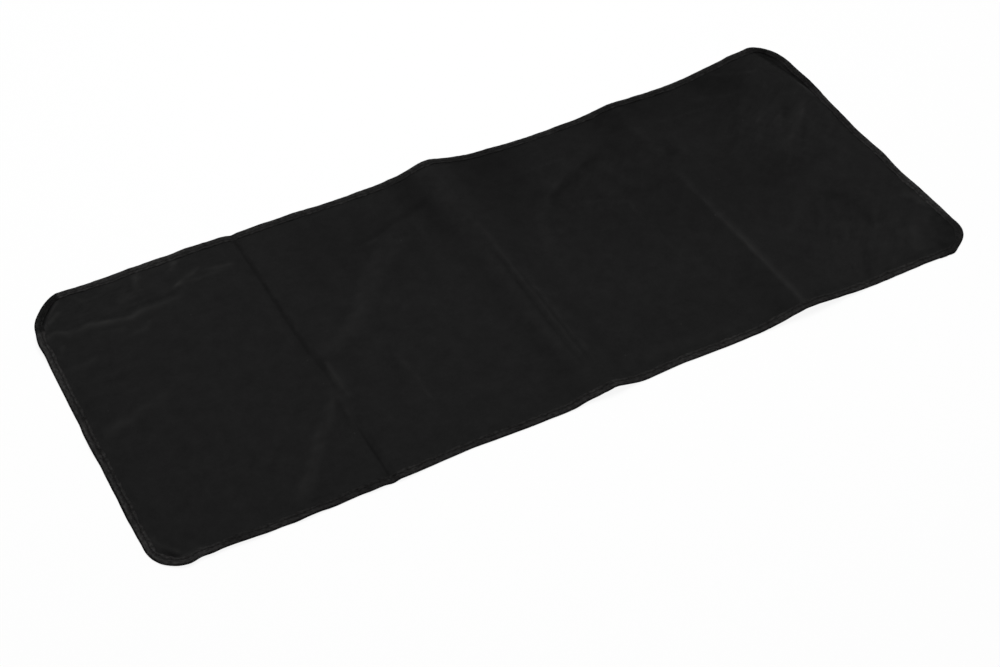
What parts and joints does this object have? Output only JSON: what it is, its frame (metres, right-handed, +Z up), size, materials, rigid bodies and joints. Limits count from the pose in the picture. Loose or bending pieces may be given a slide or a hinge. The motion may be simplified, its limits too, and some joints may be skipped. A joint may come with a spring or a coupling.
{
  "type": "keyboard dust cover",
  "caption": "Flat cloth dust cover for a keyboard, with rounded corners and a bound edge, spread out with its storage creases and lifted corners.",
  "frame": {"origin": "on the surface the cover lies on, under the middle of its outline", "axes": "+X along the length, +Y across the width towards the edge where the middle ridge is highest, +Z up"},
  "size_m": [0.982, 0.4036, 0.0173],
  "materials": {
    "cover_cloth": "black close-woven cloth with a dull sheen",
    "edge_binding": "black folded tape, a shade lighter and warmer than the cloth, one row of black stitching"
  },
  "bodies": {
    "root": {"cover_cloth": "cover_cloth", "edge_binding": "edge_binding"}
  },
  "joints": []
}
